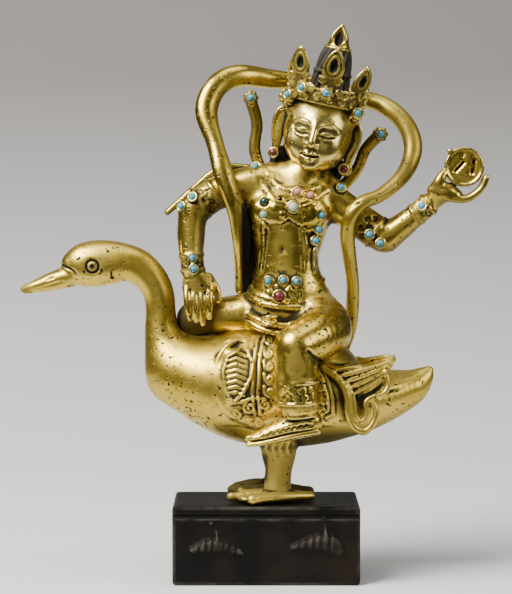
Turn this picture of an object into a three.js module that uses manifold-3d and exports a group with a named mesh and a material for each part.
// A small gilt figure riding a goose, on a dark block, in millimetres with +Z up.
// The goose faces -X, the rider faces -Y, and the origin is the middle of the block's underside.
import * as THREE from "three";
import { mergeVertices } from "three/addons/utils/BufferGeometryUtils.js";
import Module from "manifold-3d";

const wasm = await Module();
wasm.setup();

// Driving sizes. A station is [x, y, z, thin radius, wide radius], and one radius makes it round.
const GAP = 0.35;
const BLOCK = { long: 53, deep: 30, high: 22.4, bevel: 0.9, lineDrop: 3.1, lineWide: 0.7, lineDeep: 0.4 };
const GROUND = BLOCK.high + GAP;
const FRONT = -BLOCK.deep / 2;
const BUD = { foot: 10.6, belly: 11.6, stemTop: 17.5 };
const BUDS = {
  left: [[-21, FRONT, BUD.foot, 0.5, 0.6], [-17.5, FRONT, BUD.belly, 2.2, 2],
    [-13, FRONT, BUD.belly, 2.5, 2.3],
    [-9, FRONT, BUD.foot, 1.9, 1.6], [-6.6, FRONT, BUD.foot - 1, 0.5]],
  right: [[6.9, FRONT, BUD.foot, 0.4, 0.5], [11, FRONT, BUD.belly, 1.8, 1.7],
    [16.5, FRONT, BUD.belly + 0.6, 3, 2.4], [20.4, FRONT, BUD.foot, 2.5, 1.9]],
  stems: [[-13.4, -14], [16.8, 16.6]],
};

const GOOSE = {
  trunk: [[-25.5, 0, 59, 8.6, 8], [-21.5, 0, 58.4, 10.7, 11], [-14.5, 0, 56.4, 13.4, 14.2],
    [-4.6, 0, 54.6, 15.9, 16],
    [9.7, 0, 54, 16.3, 15.8], [22.6, 0, 52.6, 12.3, 13.4], [32.6, 0, 53.2, 8.8, 9.8],
    [41, 0, 55.2, 5, 5.8]],
  neck: [[-56.2, 0, 88.9, 4.7, 4.1], [-51.7, 0, 89.9, 6.4, 5.4], [-46, 0, 90.4, 6.5, 5.4],
    [-40.4, 0, 90.5, 5.4, 5], [-36.2, 0, 89, 5, 4.7], [-32.4, 0, 85.2, 4.6], [-30.6, 0, 81, 4.4],
    [-30.1, 0, 76, 4.3], [-29.8, 0, 71, 4.9], [-28.4, 0, 65.4, 6.2], [-25.4, 0, 59, 8.2, 8]],
  beak: [[-56.5, 0, 88.9, 3.4, 3.5], [-60, 0, 87.3, 2.9, 3], [-65, 0, 84.9, 1.9, 2.4],
    [-69.6, 0, 82.8, 0.9, 1.5]],
  lowerBeak: [[-57, 0, 86.3, 1.8, 2.4], [-63, 0, 84.2, 1.2, 1.9], [-68.8, 0, 82.4, 0.6, 1.2]],
  eye: { at: [-49.2, -4.6, 89.8], aim: [-0.15, -1, 0.05], radius: 1.9, thick: 1.2 },
  tail: [[34, 0, 53.5, 6.6, 7], [40, 0, 56, 4.2, 5.4], [45, 0, 58.7, 2.2, 2.6]],
  tailGroove: [[33, -9.8, 54.6, 0.5], [39, -7, 56.2, 0.5], [44.4, -3.6, 59, 0.4]],
  blanket: [[-5.5, 0, 55.4, 16.7, 16.7], [2, 0, 54.8, 17, 16.9], [12.5, 0, 53.6, 16.6, 16.2]],
  blanketHem: 45,
};

const WING = {
  panel: [[-9.5, -12.2, 65.5, 1.3, 2.4], [-9.8, -13.4, 60, 1.5, 4.2], [-7.6, -14.4, 53, 1.5, 5.4],
    [-1, -13.8, 47, 1.2, 3.4]],
  rim: [[-8.5, -10.4, 69, 0.7], [-13.4, -12.2, 64.4, 0.8], [-14.1, -12.9, 58.4, 0.8],
    [-12.6, -13.3, 53.4, 0.8], [-8.8, -13.6, 49, 0.8], [-2.8, -13.2, 44.8, 0.8]],
  scrolls: [
    [[-6.4, -13.8, 66.4, 0.8], [-4.2, -15, 62, 0.8], [-5, -16, 56.6, 0.8], [-9.8, -14.8, 52.4, 0.8]],
    [[-9.8, -15, 48.8, 0.8], [-6.4, -16, 51.4, 0.8], [-2.6, -16.4, 49, 0.8], [-4.4, -15, 46.4, 0.8]],
  ],
  fan: [[12, -12.5, 58, 2.6, 5], [22, -13, 57.2, 2, 4.8], [30, -11.5, 59, 1.3, 3.4],
    [36, -9, 63.8, 0.7, 1.1]],
  curl: [[15.8, -14.6, 61.8, 1.1], [20.6, -15.3, 58, 1.2], [23.2, -15.5, 53.5, 1.2],
    [23.8, -15.2, 48.6, 1.2], [27, -14.6, 44.8, 1.2], [29.6, -14.3, 47.6, 1.2],
    [29.8, -14, 52, 1.1], [33.2, -12.8, 54.4, 1], [34.4, -11.9, 57.4, 0.9]],
  quill: [[20, -15.2, 59.4, 0.8], [28, -13.6, 60, 0.9], [36, -9.2, 63.6, 0.8]],
  quillStep: [[3, 0.5, -1.7], [1, 0.3, -1.6], [-1, -1, -2.4]],
  quills: 3,
};

const LEG = {
  shank: [[3.4, -6, 44, 5.8], [3.6, -6, 37, 5], [3.6, -6, 32, 3.8], [3.4, -6.2, 25.4, 3.8]],
  ankle: [3.4, -6, GROUND + 1.9, 1.7, 1.9],
  toes: [[-10.2, -8, GROUND + 1.4, 1.5], [-4.6, -12.2, GROUND + 1.4, 1.5], [-6.4, -3.6, GROUND + 1.6, 1.6],
    [12.6, -4.8, GROUND + 1.2, 1.3]],
  web: [[5, -4.5], [-9.6, -8.6], [-4, -12], [5, -7.6]],
  webThick: 1.6,
};

const RIDER = {
  torso: [[6.4, 0.5, 72.5, 8.6, 10.4], [6.6, -0.8, 79.5, 9.2, 11.4], [6, -0.8, 86, 7.4, 9.8],
    [5.8, -0.5, 91.5, 6.4, 8.9],
    [6, -0.5, 99, 7.5, 10.9], [6.3, -0.6, 105.6, 8, 12.6], [7, 0, 110.4, 6.2, 12.4],
    [9.4, 0.2, 113.6, 4.6, 7]],
  neck: [[9.4, 0, 111.5, 5, 5.2], [12.4, -0.4, 119.5, 4.5, 4.6]],
  belts: [
    { at: [6.6, -0.4, 80.5], roll: 1, wide: 11.3, deep: 9.3, lean: 14 },
    { at: [6.6, -0.4, 75.4], roll: 1.3, wide: 12.3, deep: 9.6, lean: 18 },
  ],
  beltTurn: 3,
  rightArm: [[-3.4, 0.4, 112.8, 6], [-14.4, -0.4, 110.4, 4.7], [-20.4, -1, 106, 4.4]],
  rightForearm: [[-20.9, -1.2, 105, 4.3], [-21.4, -2.4, 97, 4], [-20.7, -4, 90, 3.1],
    [-19.4, -5.2, 84.8, 1.9, 3.7]],
  rightThumb: [[-16.4, -4.6, 86.4, 1.4], [-13.8, -4, 82.6, 1.2], [-13.4, -3.8, 80, 1.1]],
  strip: [[-5, 1.4, 117.8, 1, 1.6], [-12.4, 1.2, 117.8, 1, 1.6], [-16, 1, 115.6, 1, 1.5],
    [-21.4, 0.6, 110.8, 1.1, 1.5], [-28.2, 1, 104.8, 0.9, 1.2]],
  leftArm: [[16.2, 0.2, 110, 5.2], [26, -0.8, 103, 4.8], [33.2, -2, 97.8, 4.4]],
  leftForearm: [[34.2, -2, 97.4, 4.3], [40.2, -4, 102.4, 3.5], [46, -6, 107.4, 2.7],
    [50.8, -7, 110.6, 2.5, 3.4]],
  leftThumb: [[48.6, -8.8, 110.6, 1.4], [49.4, -10.2, 113.4, 1.3], [50.2, -10, 116, 1.1]],
  thigh: [[12.5, -2, 75.5, 8.8], [16.6, -9, 72, 8], [13.4, -16.4, 70.4, 7.1], [8.4, -20.8, 68, 6.1]],
  shin: [[8.4, -21.2, 67.4, 6], [8.6, -21.2, 61, 5.6], [9, -20.8, 54.6, 5.4], [9.6, -20.6, 49.8, 4.2]],
  cuff: [[8.7, -21, 57.4, 6.3], [9, -20.8, 53.4, 6.4]],
  shoe: [[12.4, -20.4, 47, 3.6, 3.2], [6, -21, 46, 3.3], [-0.6, -21.6, 43.8, 2, 2.6],
    [-5, -21.8, 42.8, 0.9, 1.2]],
  farThigh: [[1, 2, 75.4, 7.6], [-11.5, 1.4, 75.2, 5.6], [-20.6, 2.2, 74.2, 5.1]],
  farShin: [[-20.8, 3.4, 73.6, 5], [-20.6, 13.4, 70.4, 4.8], [-18, 19.4, 63, 4.4], [-16.4, 20, 57, 3.8]],
  farShoe: [[-13.4, 20, 55.6, 3, 2.8], [-19, 19.8, 54.2, 2.8], [-25.4, 19, 52, 1.2, 1.6]],
};
// The first finger of each hand, and the step from each station to the next finger's.
const FINGERS = {
  count: 4,
  hanging: [[-22.2, -5.6, 84, 1.2], [-21.6, -6.6, 79, 1.2], [-21, -5.2, 74.2, 1]],
  hangingStep: [[2.1, 0, 0], [1.8, 0, 0], [1.6, 0, 0]],
  gripping: [[51, -9.2, 109.4, 1.2], [56, -9.4, 109.2, 1.2], [60.4, -9.8, 111.8, 1], [62, -10, 115.2, 1]],
  grippingStep: [[0, 1.5, 0], [0, 1.5, 0], [0, 1.4, 0], [0, 1.3, 0]],
};
const DIGIT = { sides: 4, rings: 2 };
const DISC = { at: [55.6, -8.6, 117.8], aim: [0.1, -1, 0.05], radius: 5.6, thick: 1.8, rim: 0.9, sunk: 0.4 };

const HEAD = { at: [14.8, -1.5, 127.4], tilt: 13, turn: -8, bow: 4, wide: 10, deep: 9.8, high: 10.8 };
const CROWN = { ring: 9.4, foot: 8.2, rim: 12.2, flare: 1.3, wall: 3 };
const LEAF = { tip: 17.6, tall: 6.6, wide: 2.9, angle: 50, turn: 8, socket: [0.9, 0.9, 1.3] };
const HEAD_PARTS = {
  skull: { at: [0, 0, 0], radii: [HEAD.wide, HEAD.deep, HEAD.high] },
  jaw: { at: [0, -1.4, -4.4], radii: [8, 7.4, 6.2] },
  hair: { at: [0, 1.6, 5.4], radii: [10.8, 9.4, 8] },
  backHair: { at: [12, 5.4, 117.6], radii: [10.4, 4.2, 9] },
  nose: [[0, -8.6, 2.4, 0.9], [0, -10.4, -1.2, 1.1], [0, -9.6, -2.4, 1.3]],
  knot: [[0, 2, 11, 5.4], [0, 2.4, 18, 4.8], [0, 2, 24.5, 3.6]],
  finial: [[0, 1.4, 24.6, 2, 2.8], [0, 1.4, 27.6, 1.8, 2.8], [0, 1.4, 31, 0.5, 0.5]],
  ear: [[10, 0.6, 3.4, 1.6, 1.1], [10.4, 0.2, -1.2, 1.9, 1.1], [10, -0.4, -6.2, 1.3, 1]],
  earring: { at: [9.6, 0.6, -8.2], aim: [0.1, -1, 0], radius: 2.1, thick: 1.8 },
  rosette: { at: [9.2, -3.4, 8.2], aim: [0.55, -1, 0], radius: 2.5, thick: 1.8 },
  farther: 1,
};
const RIBBONS = [
  [[0.6, 3, 112, 1.8, 1.7], [-3.2, 4, 122, 1.7, 1.6], [-2.6, 3.4, 130, 1.7, 1.6],
    [-4.4, 1.6, 137, 1.8, 2.1]],
  [[20.6, 3, 110.4, 1.8, 1.7], [26, 4, 117, 1.7, 1.6], [28.4, 3.4, 122.6, 1.7, 1.6],
    [32.2, 1.6, 126.8, 1.8, 2.1]],
];

// The long scarf: up from the left hip, over the shoulder, round behind the crown and down again.
const SCARF = [[-7.6, 2.4, 82.6, 1.4, 1.4], [-6.9, 0.2, 89, 2.2, 1.6], [-6.9, -3.4, 96.6, 2.9, 1.7],
  [-7.8, -5.6, 103.6, 3, 1.9], [-9.8, -7.2, 109.6, 2.7, 2.1], [-12, -7, 115.8, 3, 2.4],
  [-14.4, -3.8, 124, 2.5, 2.5], [-17.2, -0.4, 133.6, 3.1, 2.6], [-14, 2.2, 140.8, 3, 2.6],
  [-7.8, 5, 143.9, 2.9, 2.6], [1.6, 9.4, 143, 2.5, 2.4], [15.4, 13.4, 141.6, 2.1, 2.4],
  [26.4, 9.4, 138, 2.4, 2.4], [34.6, 5, 134.8, 2.7, 2.5], [40, 2.6, 129.6, 2.7, 2.5],
  [41.9, 0.4, 123, 2.7, 2.4], [39.2, -2.6, 115.8, 2.3, 2.4], [32.6, -5.8, 110, 2, 2.4],
  [27.2, -7.6, 107.8, 2, 2.3], [23.8, -7.8, 104, 2, 2.2], [23, -5.4, 98.4, 2.2, 2],
  [23.8, -2, 92, 2, 2], [24.8, 1, 85, 1.8, 2], [24.9, 3.6, 77.8, 1.9, 2],
  [24.4, 6, 71, 1.7, 1.9], [23, 8.6, 64.2, 1.1, 1.5]];
const SCARF_ACROSS = [0.35, -1, 0.25];

// A stone is [name, place in the front view, direction it faces, radius, whether it is in the head's frame].
const STONE = { common: 1.05, small: 1.15, pendant: 1.4, garnet: 1.5, high: 1.25, shoulder: 0.8 };
const COLLET = { rim: 0.3, stand: 1.1, deep: 2 };
const STONES = [
  ["turquoise_crown_left", [-5.4, 0, 11.7], [-0.5, -1, 0.1], STONE.common, true],
  ["turquoise_crown_middle", [1, 0, 11.7], [0.1, -1, 0.1], STONE.common, true],
  ["turquoise_crown_side", [-9.2, 0, 9], [-0.7, -1, 0], STONE.common, true],
  ["turquoise_rosette_right", [9.7, 0, 8.2], [0.55, -1, 0], STONE.common, true],
  ["garnet_earring_left", [-10.8, 0, -8.1], [-0.1, -1, 0], STONE.common, true],
  ["garnet_earring_right", [9.5, 0, -8.2], [0.1, -1, 0], STONE.common, true],
  ["turquoise_ribbon_left", [-4.4, 0, 137.4], [0, -1, 0], STONE.common, false],
  ["turquoise_ribbon_right", [32.4, 0, 127], [0.1, -1, 0], STONE.common, false],
  ["turquoise_shoulder_left", [-2.8, 0, 117.2], [-0.1, -1, 0.6], STONE.common, false],
  ["turquoise_shoulder_right", [21, 0, 111.4], [0.2, -1, 0.4], STONE.common, false],
  ["green_glass_chest", [-0.2, 0, 108], [-0.2, -1, 0], STONE.small, false],
  ["pale_glass_chest", [-0.4, 0, 104.4], [-0.2, -1, 0], STONE.small, false],
  ["coral_chest_left", [8.8, 0, 110.4], [0, -1, 0.25], STONE.small, false],
  ["coral_chest_right", [12.4, 0, 109.4], [0.1, -1, 0.25], STONE.small, false],
  ["crystal_pendant", [7.6, 0, 106.4], [0, -1, 0.1], STONE.pendant, false],
  ["turquoise_chest_top", [15.1, 0, 104.2], [0.3, -1, 0], STONE.common, false],
  ["turquoise_chest_middle", [14.4, 0, 100.2], [0.3, -1, 0], STONE.common, false],
  ["turquoise_chest_low", [13.5, 0, 97], [0.3, -1, 0], STONE.common, false],
  ["turquoise_belt_left", [0.9, 0, 85.6], [-0.2, -1, 0], STONE.common, false],
  ["turquoise_belt_middle", [4.8, 0, 85.9], [0, -1, 0], STONE.common, false],
  ["turquoise_belt_right", [8.5, 0, 85.6], [0.1, -1, 0], STONE.common, false],
  ["garnet_belt", [3.6, 0, 81.4], [0, -1, 0], STONE.garnet, false],
  ["turquoise_armlet_left_high", [-20.4, 0, 108.9], [-0.3, -1, 0.3], STONE.common, false],
  ["turquoise_armlet_left_low", [-23.2, 0, 106.4], [-0.7, -1, 0.2], STONE.common, false],
  ["turquoise_wristlet_left_high", [-20.8, 0, 92.2], [0, -1, 0], STONE.common, false],
  ["turquoise_wristlet_left_low", [-20.4, 0, 89], [0, -1, 0], STONE.common, false],
  ["turquoise_armlet_right_high", [29.2, 0, 98.8], [0, -1, 0], STONE.common, false],
  ["turquoise_armlet_right_low", [32.2, 0, 96.2], [0, -1, 0], STONE.common, false],
  ["turquoise_wristlet_right", [44, 0, 106.4], [-0.2, -1, 0.3], STONE.common, false],
];

const STONE_COLOURS = {
  turquoise: "#2f9fb4", garnet: "#5d1420", green: "#123c34", pale: "#8fb7a4",
  coral: "#d08d78", crystal: "#c9c2b4",
};
const GOLD = { color: "#c8a040", roughness: 0.4, metalness: 1 };
const DARK_METAL = { color: "#221c18", roughness: 0.45, metalness: 0.6 };

const WELD = 1e-3;
const VIEW_DEPTH = 40;
const CUTTER = { wide: 80, thick: 30 };
const radians = THREE.MathUtils.degToRad;

// A three.js geometry as a closed solid, turned right side out.
function solid(geometry) {
  const bare = geometry.clone();
  for (const name of Object.keys(bare.attributes)) {
    if (name !== "position") bare.deleteAttribute(name);
  }
  const merged = mergeVertices(bare, WELD);
  const corners = [];
  const index = merged.index.array;
  for (let i = 0; i < index.length; i += 3) {
    const [a, b, c] = [index[i], index[i + 1], index[i + 2]];
    if (a !== b && b !== c && a !== c) corners.push(a, b, c);
  }
  const build = (triVerts) =>
    new wasm.Manifold(new wasm.Mesh({
      numProp: 3,
      vertProperties: merged.attributes.position.array,
      triVerts: new Uint32Array(triVerts),
    }));
  const made = build(corners);
  return made.volume() > 0 ? made : build(corners.reverse());
}

function join(...pieces) {
  return wasm.Manifold.union(pieces.flat(2));
}

// The curve through one reading of the stations.
function through(stations, read) {
  return new THREE.CatmullRomCurve3(stations.map(read), false, "catmullrom", 0.5);
}

// A rounded limb through stations. The wide radius lies along the given direction, and grow thickens it all.
function limb(stations, { sides = 8, rings = 6, across = [0, 1, 0], caps = 1, grow = 0 } = {}) {
  const path = through(stations, ([x, y, z]) => new THREE.Vector3(x, y, z));
  const girth = through(stations, ([, , , thin, wide = thin]) =>
    new THREE.Vector3(thin + grow, wide + grow, 0));
  const total = rings + 2 * caps;
  const geometry = new THREE.SphereGeometry(1, sides, total);
  const { position, uv } = geometry.attributes;
  const side = new THREE.Vector3(...across);
  for (let i = 0; i < position.count; i++) {
    const ring = Math.round((1 - uv.getY(i)) * total);
    const atPole = ring === 0 || ring === total;
    const intoStart = Math.max(0, caps - ring) / caps;
    const intoEnd = Math.max(0, ring - caps - rings) / caps;
    const bulge = Math.sin(Math.max(intoStart, intoEnd) * Math.PI / 2);
    const shrink = atPole ? 0 : Math.sqrt(1 - bulge * bulge);
    const spin = atPole ? 0 : uv.getX(i) * 2 * Math.PI;
    const t = Math.min(1, Math.max(0, (ring - caps) / rings));
    const along = path.getTangent(t);
    const { x: thin, y: wide } = girth.getPoint(t);
    const u = side.clone().addScaledVector(along, -side.dot(along)).normalize();
    const v = along.clone().cross(u);
    const beyond = bulge * Math.min(thin, wide) * (intoStart > 0 ? -1 : 1);
    const place = path.getPoint(t).addScaledVector(along, beyond)
      .addScaledVector(u, Math.cos(spin) * wide * shrink)
      .addScaledVector(v, Math.sin(spin) * thin * shrink);
    position.setXYZ(i, place.x, place.y, place.z);
  }
  return solid(geometry);
}

function ball({ at, radii }, sides, rings, frame = new THREE.Matrix4()) {
  const oval = new THREE.SphereGeometry(1, sides, rings).scale(...radii).translate(...at);
  return solid(oval.applyMatrix4(frame));
}

// A flat slab that cuts everything below the given height.
function below(height) {
  const { wide, thick } = CUTTER;
  return solid(new THREE.BoxGeometry(wide, wide, thick).translate(0, 0, height - thick / 2));
}

// Copies of a limb's stations, each moved on by the step.
function row(stations, steps, count) {
  return Array.from({ length: count }, (_, i) =>
    stations.map(([x, y, z, r], k) => [x + i * steps[k][0], y + i * steps[k][1], z + i * steps[k][2], r]));
}

// A round boss with its flat back at the given place, standing along a direction.
function boss(at, aim, profile, sides = 6) {
  const geometry = new THREE.LatheGeometry(profile.map(([r, h]) => new THREE.Vector2(r, h)), sides);
  const turn = new THREE.Quaternion().setFromUnitVectors(new THREE.Vector3(0, 1, 0),
    new THREE.Vector3(...aim).normalize());
  return solid(geometry.applyQuaternion(turn).translate(...at));
}

const button = (radius, thick) => [[0, 0], [radius, 0], [STONE.shoulder * radius, thick], [0, thick]];
const mirrorY = ([x, y, z, ...rest]) => [x, -y, z, ...rest];
const near = (station) => station;

// The head's own frame: origin between the ears, -Y out of the face, +Z to the topknot.
const headFrame = new THREE.Matrix4().makeTranslation(...HEAD.at)
  .multiply(new THREE.Matrix4().makeRotationY(radians(HEAD.tilt)))
  .multiply(new THREE.Matrix4().makeRotationZ(radians(HEAD.turn)))
  .multiply(new THREE.Matrix4().makeRotationX(radians(HEAD.bow)));
const onHead = (point) => new THREE.Vector3(...point).applyMatrix4(headFrame).toArray();
const fromHead = (direction) => new THREE.Vector3(...direction).transformDirection(headFrame).toArray();
const headStations = (stations) => stations.map(([x, y, z, ...r]) => [...onHead([x, y, z]), ...r]);

// The block, with a bevelled edge, a scored line and two hanging buds on its front.
function block() {
  const { long, deep, high, bevel, lineDrop, lineWide, lineDeep } = BLOCK;
  const outline = new THREE.Shape();
  const [w, d] = [long / 2 - bevel, deep / 2 - bevel];
  outline.moveTo(-w, -d).lineTo(w, -d).lineTo(w, d).lineTo(-w, d).closePath();
  const body = new THREE.ExtrudeGeometry(outline, {
    depth: high - 2 * bevel, bevelSize: bevel, bevelThickness: bevel, bevelSegments: 1, curveSegments: 1,
  }).translate(0, 0, bevel);
  const line = new THREE.BoxGeometry(2 * long, 2 * lineDeep, lineWide).translate(0, FRONT, high - lineDrop);
  const stems = BUDS.stems.map(([low, top]) =>
    limb([[low, FRONT, BUD.belly, 0.8, 0.9], [top, FRONT, BUD.stemTop, 0.8]], { sides: 6, rings: 2 }));
  return join(solid(body).subtract(solid(line)), limb(BUDS.left), limb(BUDS.right), stems);
}

const gooseTrunk = (grow) => limb(GOOSE.trunk, { sides: 12, rings: 7, grow });

// One wing: the raised shoulder panel in its rim, then the curled rear feathers. The far one is plainer.
function wing(flip, grow) {
  const draw = (stations, options) => limb(stations.map(flip), { sides: 4, grow, ...options });
  const isFar = flip === mirrorY;
  const quills = row(WING.quill, WING.quillStep, isFar ? 0 : WING.quills);
  return [
    draw(WING.panel, { across: [1, 0, 0.5], sides: 6, rings: 5 }),
    draw(WING.rim, { rings: 6 }),
    isFar ? [] : WING.scrolls.map((line) => draw(line, { rings: 3 })),
    draw(WING.fan, { across: [0.4, 0, 1], sides: 6, rings: 4 }),
    draw(WING.curl, { rings: 9 }),
    quills.map((quill) => draw(quill, { rings: 2 })),
  ].flat();
}

function blanket(grow) {
  return limb(GOOSE.blanket, { sides: 12, rings: 2, grow }).subtract(below(GOOSE.blanketHem - grow));
}

function leg(flip) {
  const shank = limb(LEG.shank.map(flip), { rings: 3, across: [1, 0, 0] });
  const toes = LEG.toes.map((toe) =>
    limb([LEG.ankle, toe].map(flip), { sides: 4, rings: 1, across: [0, 0, 1] }));
  const outline = new THREE.Shape(LEG.web.map(([x, y]) => new THREE.Vector2(x, flip([x, y])[1])));
  const web = new THREE.ExtrudeGeometry(outline, { depth: LEG.webThick, bevelEnabled: false });
  return [shank, solid(web.translate(0, 0, GROUND)), ...toes];
}

function goose() {
  const { at, aim, radius, thick } = GOOSE.eye;
  const eyes = [near, mirrorY].map((flip) => boss(flip(at), flip(aim), button(radius, thick)));
  const grooves = [near, mirrorY].map((flip) => limb(GOOSE.tailGroove.map(flip), { sides: 4, rings: 2 }));
  const ends = [limb(GOOSE.neck, { rings: 12 }), limb(GOOSE.beak, { rings: 3 }),
    limb(GOOSE.lowerBeak, { sides: 5, rings: 2 }), limb(GOOSE.tail, { rings: 3 })];
  const paired = [near, mirrorY].map((flip) => [wing(flip, 0), leg(flip)]);
  const body = join(gooseTrunk(0), blanket(0), paired.flat(2), eyes, ends);
  return body.subtract(join(grooves, below(GROUND)));
}

function riderTrunk() {
  const belts = RIDER.belts.map(({ at, roll, wide, deep, lean }) =>
    solid(new THREE.TorusGeometry(1, roll / wide, 4, 12).scale(wide, deep, wide)
      .rotateX(radians(lean)).rotateY(radians(RIDER.beltTurn)).translate(...at)));
  return [limb(RIDER.torso, { sides: 10, rings: 7, across: [1, 0, 0] }),
    limb(RIDER.neck, { sides: 6, rings: 2 }), ...belts];
}

function riderArms() {
  const { count, hanging, hangingStep, gripping, grippingStep } = FINGERS;
  const fingers = row(hanging, hangingStep, count).map((finger) => limb(finger, DIGIT));
  const grip = row(gripping, grippingStep, count).map((finger) => limb(finger, DIGIT));
  const [x, y, z] = DISC.at;
  const { radius, thick, rim, sunk } = DISC;
  const disc = boss([x, y + thick / 2, z], DISC.aim, [[0, 0], [radius, 0], [radius, thick],
    [radius - rim, thick], [radius - rim - sunk, thick - sunk], [0, thick - sunk]], 12);
  return [limb(RIDER.rightArm, { rings: 3 }), limb(RIDER.rightForearm, { rings: 4, across: [1, 0, 0] }),
    limb(RIDER.leftArm, { rings: 3 }), limb(RIDER.leftForearm, { rings: 4 }), limb(RIDER.rightThumb, DIGIT),
    limb(RIDER.leftThumb, DIGIT), limb(RIDER.strip, DIGIT), disc, ...fingers, ...grip];
}

function riderLegs() {
  return [limb(RIDER.thigh, { rings: 4 }), limb(RIDER.shin, { rings: 4 }), limb(RIDER.cuff, { rings: 1 }),
    limb(RIDER.shoe, { sides: 7, rings: 4 }), limb(RIDER.farThigh, { rings: 4 }),
    limb(RIDER.farShin, { rings: 4, across: [1, 0, 0] }), limb(RIDER.farShoe, { sides: 6, rings: 3 })];
}

// One leaf of the crown, at an angle round the head, with its drop-shaped socket.
function crownLeaf(angle) {
  const { ring, rim, flare } = CROWN;
  const [s, c] = [Math.sin(radians(angle)), Math.cos(radians(angle))];
  const tip = LEAF.tip + LEAF.tall * Math.cos(radians(angle));
  const upright = [[ring, rim - 1.4, 1.1, 2], [ring + flare, rim + 3.6, 1, LEAF.wide],
    [ring + 2 * flare, rim + 6.4, 0.9, LEAF.wide * 0.62], [ring + 2.4 * flare, tip, 0.5]];
  const stations = upright.map(([r, z, ...radii]) => [s * r, -c * r, z, ...radii]);
  const out = ring + 2 * flare;
  const socket = ball({ at: onHead([s * out, -c * out, rim + 3.6]), radii: LEAF.socket }, 4, 3);
  return limb(headStations(stations), { sides: 4, rings: 3, across: fromHead([c, s, 0]) }).subtract(socket);
}

function riderHead() {
  const { ring, foot, rim, flare, wall } = CROWN;
  const { skull, jaw, hair, backHair, nose, knot, finial, ear, earring, rosette, farther } = HEAD_PARTS;
  const ovals = [skull, jaw, hair].map((part) => ball(part, 8, 6, headFrame));
  const inner = ring - wall;
  const profile = [[inner, foot], [ring, foot], [ring + flare, rim], [inner, rim], [inner, foot]];
  const band = solid(new THREE.LatheGeometry(profile.map(([r, h]) => new THREE.Vector2(r, h)), 12)
    .rotateX(Math.PI / 2).applyMatrix4(headFrame));
  const sides = [-1, 1].map((s) => {
    const flipX = ([x, ...rest]) => [s > 0 ? x : -x - farther, ...rest];
    const stud = ({ at, aim, radius, thick }) =>
      boss(onHead(flipX(at)), fromHead(flipX(aim)), button(radius, thick));
    const lobe = limb(headStations(ear.map(flipX)), { sides: 4, rings: 2, across: fromHead([0, 1, 0]) });
    return [lobe, stud(earring), stud(rosette)];
  });
  const leaves = [-2, -1, 0, 1, 2].map((i) => crownLeaf(LEAF.turn + i * LEAF.angle));
  const ribbons = RIBBONS.map((stations) => limb(stations, { sides: 4, rings: 4 }));
  return [...ovals, ball(backHair, 8, 5), band, ...leaves, ...ribbons, ...sides.flat(),
    limb(headStations(nose), DIGIT), limb(headStations(knot), { rings: 3 }),
    limb(headStations(finial), { sides: 5, rings: 2, across: fromHead([1, 0, 0]) })];
}

const scarf = (grow) => limb(SCARF, { sides: 6, rings: 29, across: SCARF_ACROSS, grow });

function meshOf(name, made, finish) {
  const { vertProperties, triVerts } = made.getMesh();
  const geometry = new THREE.BufferGeometry();
  geometry.setAttribute("position", new THREE.BufferAttribute(new Float32Array(vertProperties), 3));
  geometry.setIndex(new THREE.BufferAttribute(new Uint32Array(triVerts), 1));
  geometry.computeVertexNormals();
  const mesh = new THREE.Mesh(geometry, new THREE.MeshStandardMaterial(finish));
  mesh.name = name;
  return mesh;
}

// Where a ray sent straight back through the stone's place first meets the figure.
function seatOf([name, place, aim, radius, isOnHead], target) {
  const toWorld = (direction) =>
    new THREE.Vector3(...(isOnHead ? fromHead(direction) : direction)).normalize();
  const front = toWorld([0, -1, 0]);
  const start = new THREE.Vector3(...(isOnHead ? onHead(place) : place)).addScaledVector(front, VIEW_DEPTH);
  const hit = new THREE.Raycaster(start, front.clone().negate()).intersectObject(target)[0];
  if (!hit) throw new Error(`${name} has nothing behind it`);
  const direction = toWorld(aim);
  const along = (distance) => hit.point.clone().addScaledVector(direction, distance).toArray();
  return { name, radius, along, direction: direction.toArray() };
}

// The raised collet that a stone sits in front of, and the stone itself, a gap above it.
function collet({ radius, along, direction }) {
  const { rim, stand, deep } = COLLET;
  const profile = [[0, 0], [radius + rim, 0], [radius + rim, deep], [0, deep]];
  return boss(along(stand - deep), direction, profile, 4);
}

function gem({ name, radius, along, direction }) {
  const { high, shoulder } = STONE;
  const profile = [[0, 0], [radius, 0], [radius * shoulder, high * 0.6], [0, high]];
  return meshOf(name, boss(along(COLLET.stand + GAP), direction, profile, 5),
    { color: STONE_COLOURS[name.split("_")[0]], roughness: 0.3, metalness: 0 });
}

function buildFigure() {
  const group = new THREE.Group();
  const goosePiece = goose();
  const figure = join(riderTrunk(), riderArms(), riderLegs(), riderHead());
  const target = meshOf("target", figure, GOLD);
  const seats = STONES.map((stone) => seatOf(stone, target));
  const saddle = join(gooseTrunk(GAP), blanket(GAP), wing(near, GAP), wing(mirrorY, GAP));
  const rider = join(figure, seats.map(collet)).subtract(join(saddle, scarf(GAP)));
  group.add(meshOf("block", block(), DARK_METAL));
  group.add(meshOf("goose", goosePiece, GOLD));
  group.add(meshOf("rider", rider, GOLD));
  group.add(meshOf("scarf", scarf(0).subtract(saddle), GOLD));
  group.add(...seats.map(gem));
  return group;
}

export default buildFigure();
